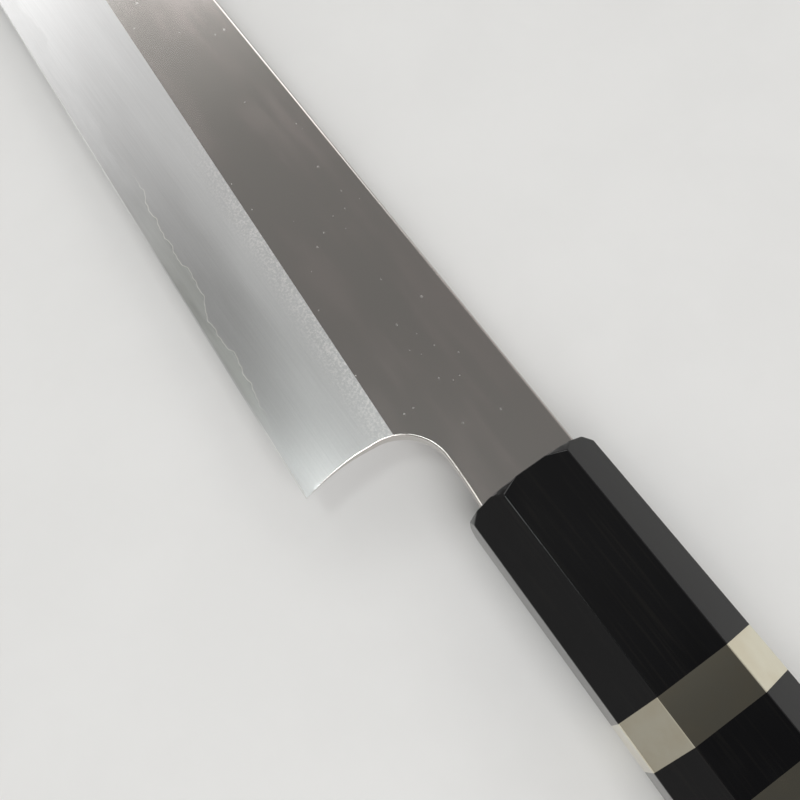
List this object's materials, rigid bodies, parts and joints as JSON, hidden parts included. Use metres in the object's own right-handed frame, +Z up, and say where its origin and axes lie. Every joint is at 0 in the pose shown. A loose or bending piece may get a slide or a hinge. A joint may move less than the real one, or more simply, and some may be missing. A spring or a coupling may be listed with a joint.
{
  "type": "sujihiki knife",
  "caption": "Long slim slicing knife: a laminated double-bevelled blade with a wide ground bevel and an open choil, on an octagonal wooden handle with a horn ferrule and metal rings.",
  "frame": {"origin": "bottom centre of the knife as it lies on its right side", "axes": "+X along the blade to the tip, +Y from the spine to the edge, +Z up out of the left face"},
  "size_m": [0.4334, 0.0424, 0.0217],
  "materials": {
    "core_steel": "finely honed hard steel, a little greenish",
    "soft_steel": "polished flats above a hazy ground bevel",
    "horn": "polished black horn",
    "ring_metal": "mirror-polished nickel silver",
    "ebony": "oiled and polished ebony",
    "dowel_wood": "bare straight-grained wood",
    "resin": "set black adhesive"
  },
  "bodies": {
    "root": {"core_steel": "core_steel", "left_cladding": "soft_steel", "right_cladding": "soft_steel", "ferrule": "horn", "mouth_seal": "resin", "front_ring": "ring_metal", "ring_spacer": "horn", "rear_ring": "ring_metal", "handle_body": "ebony", "handle_dowel": "dowel_wood", "tang_adhesive": "resin"}
  },
  "joints": []
}
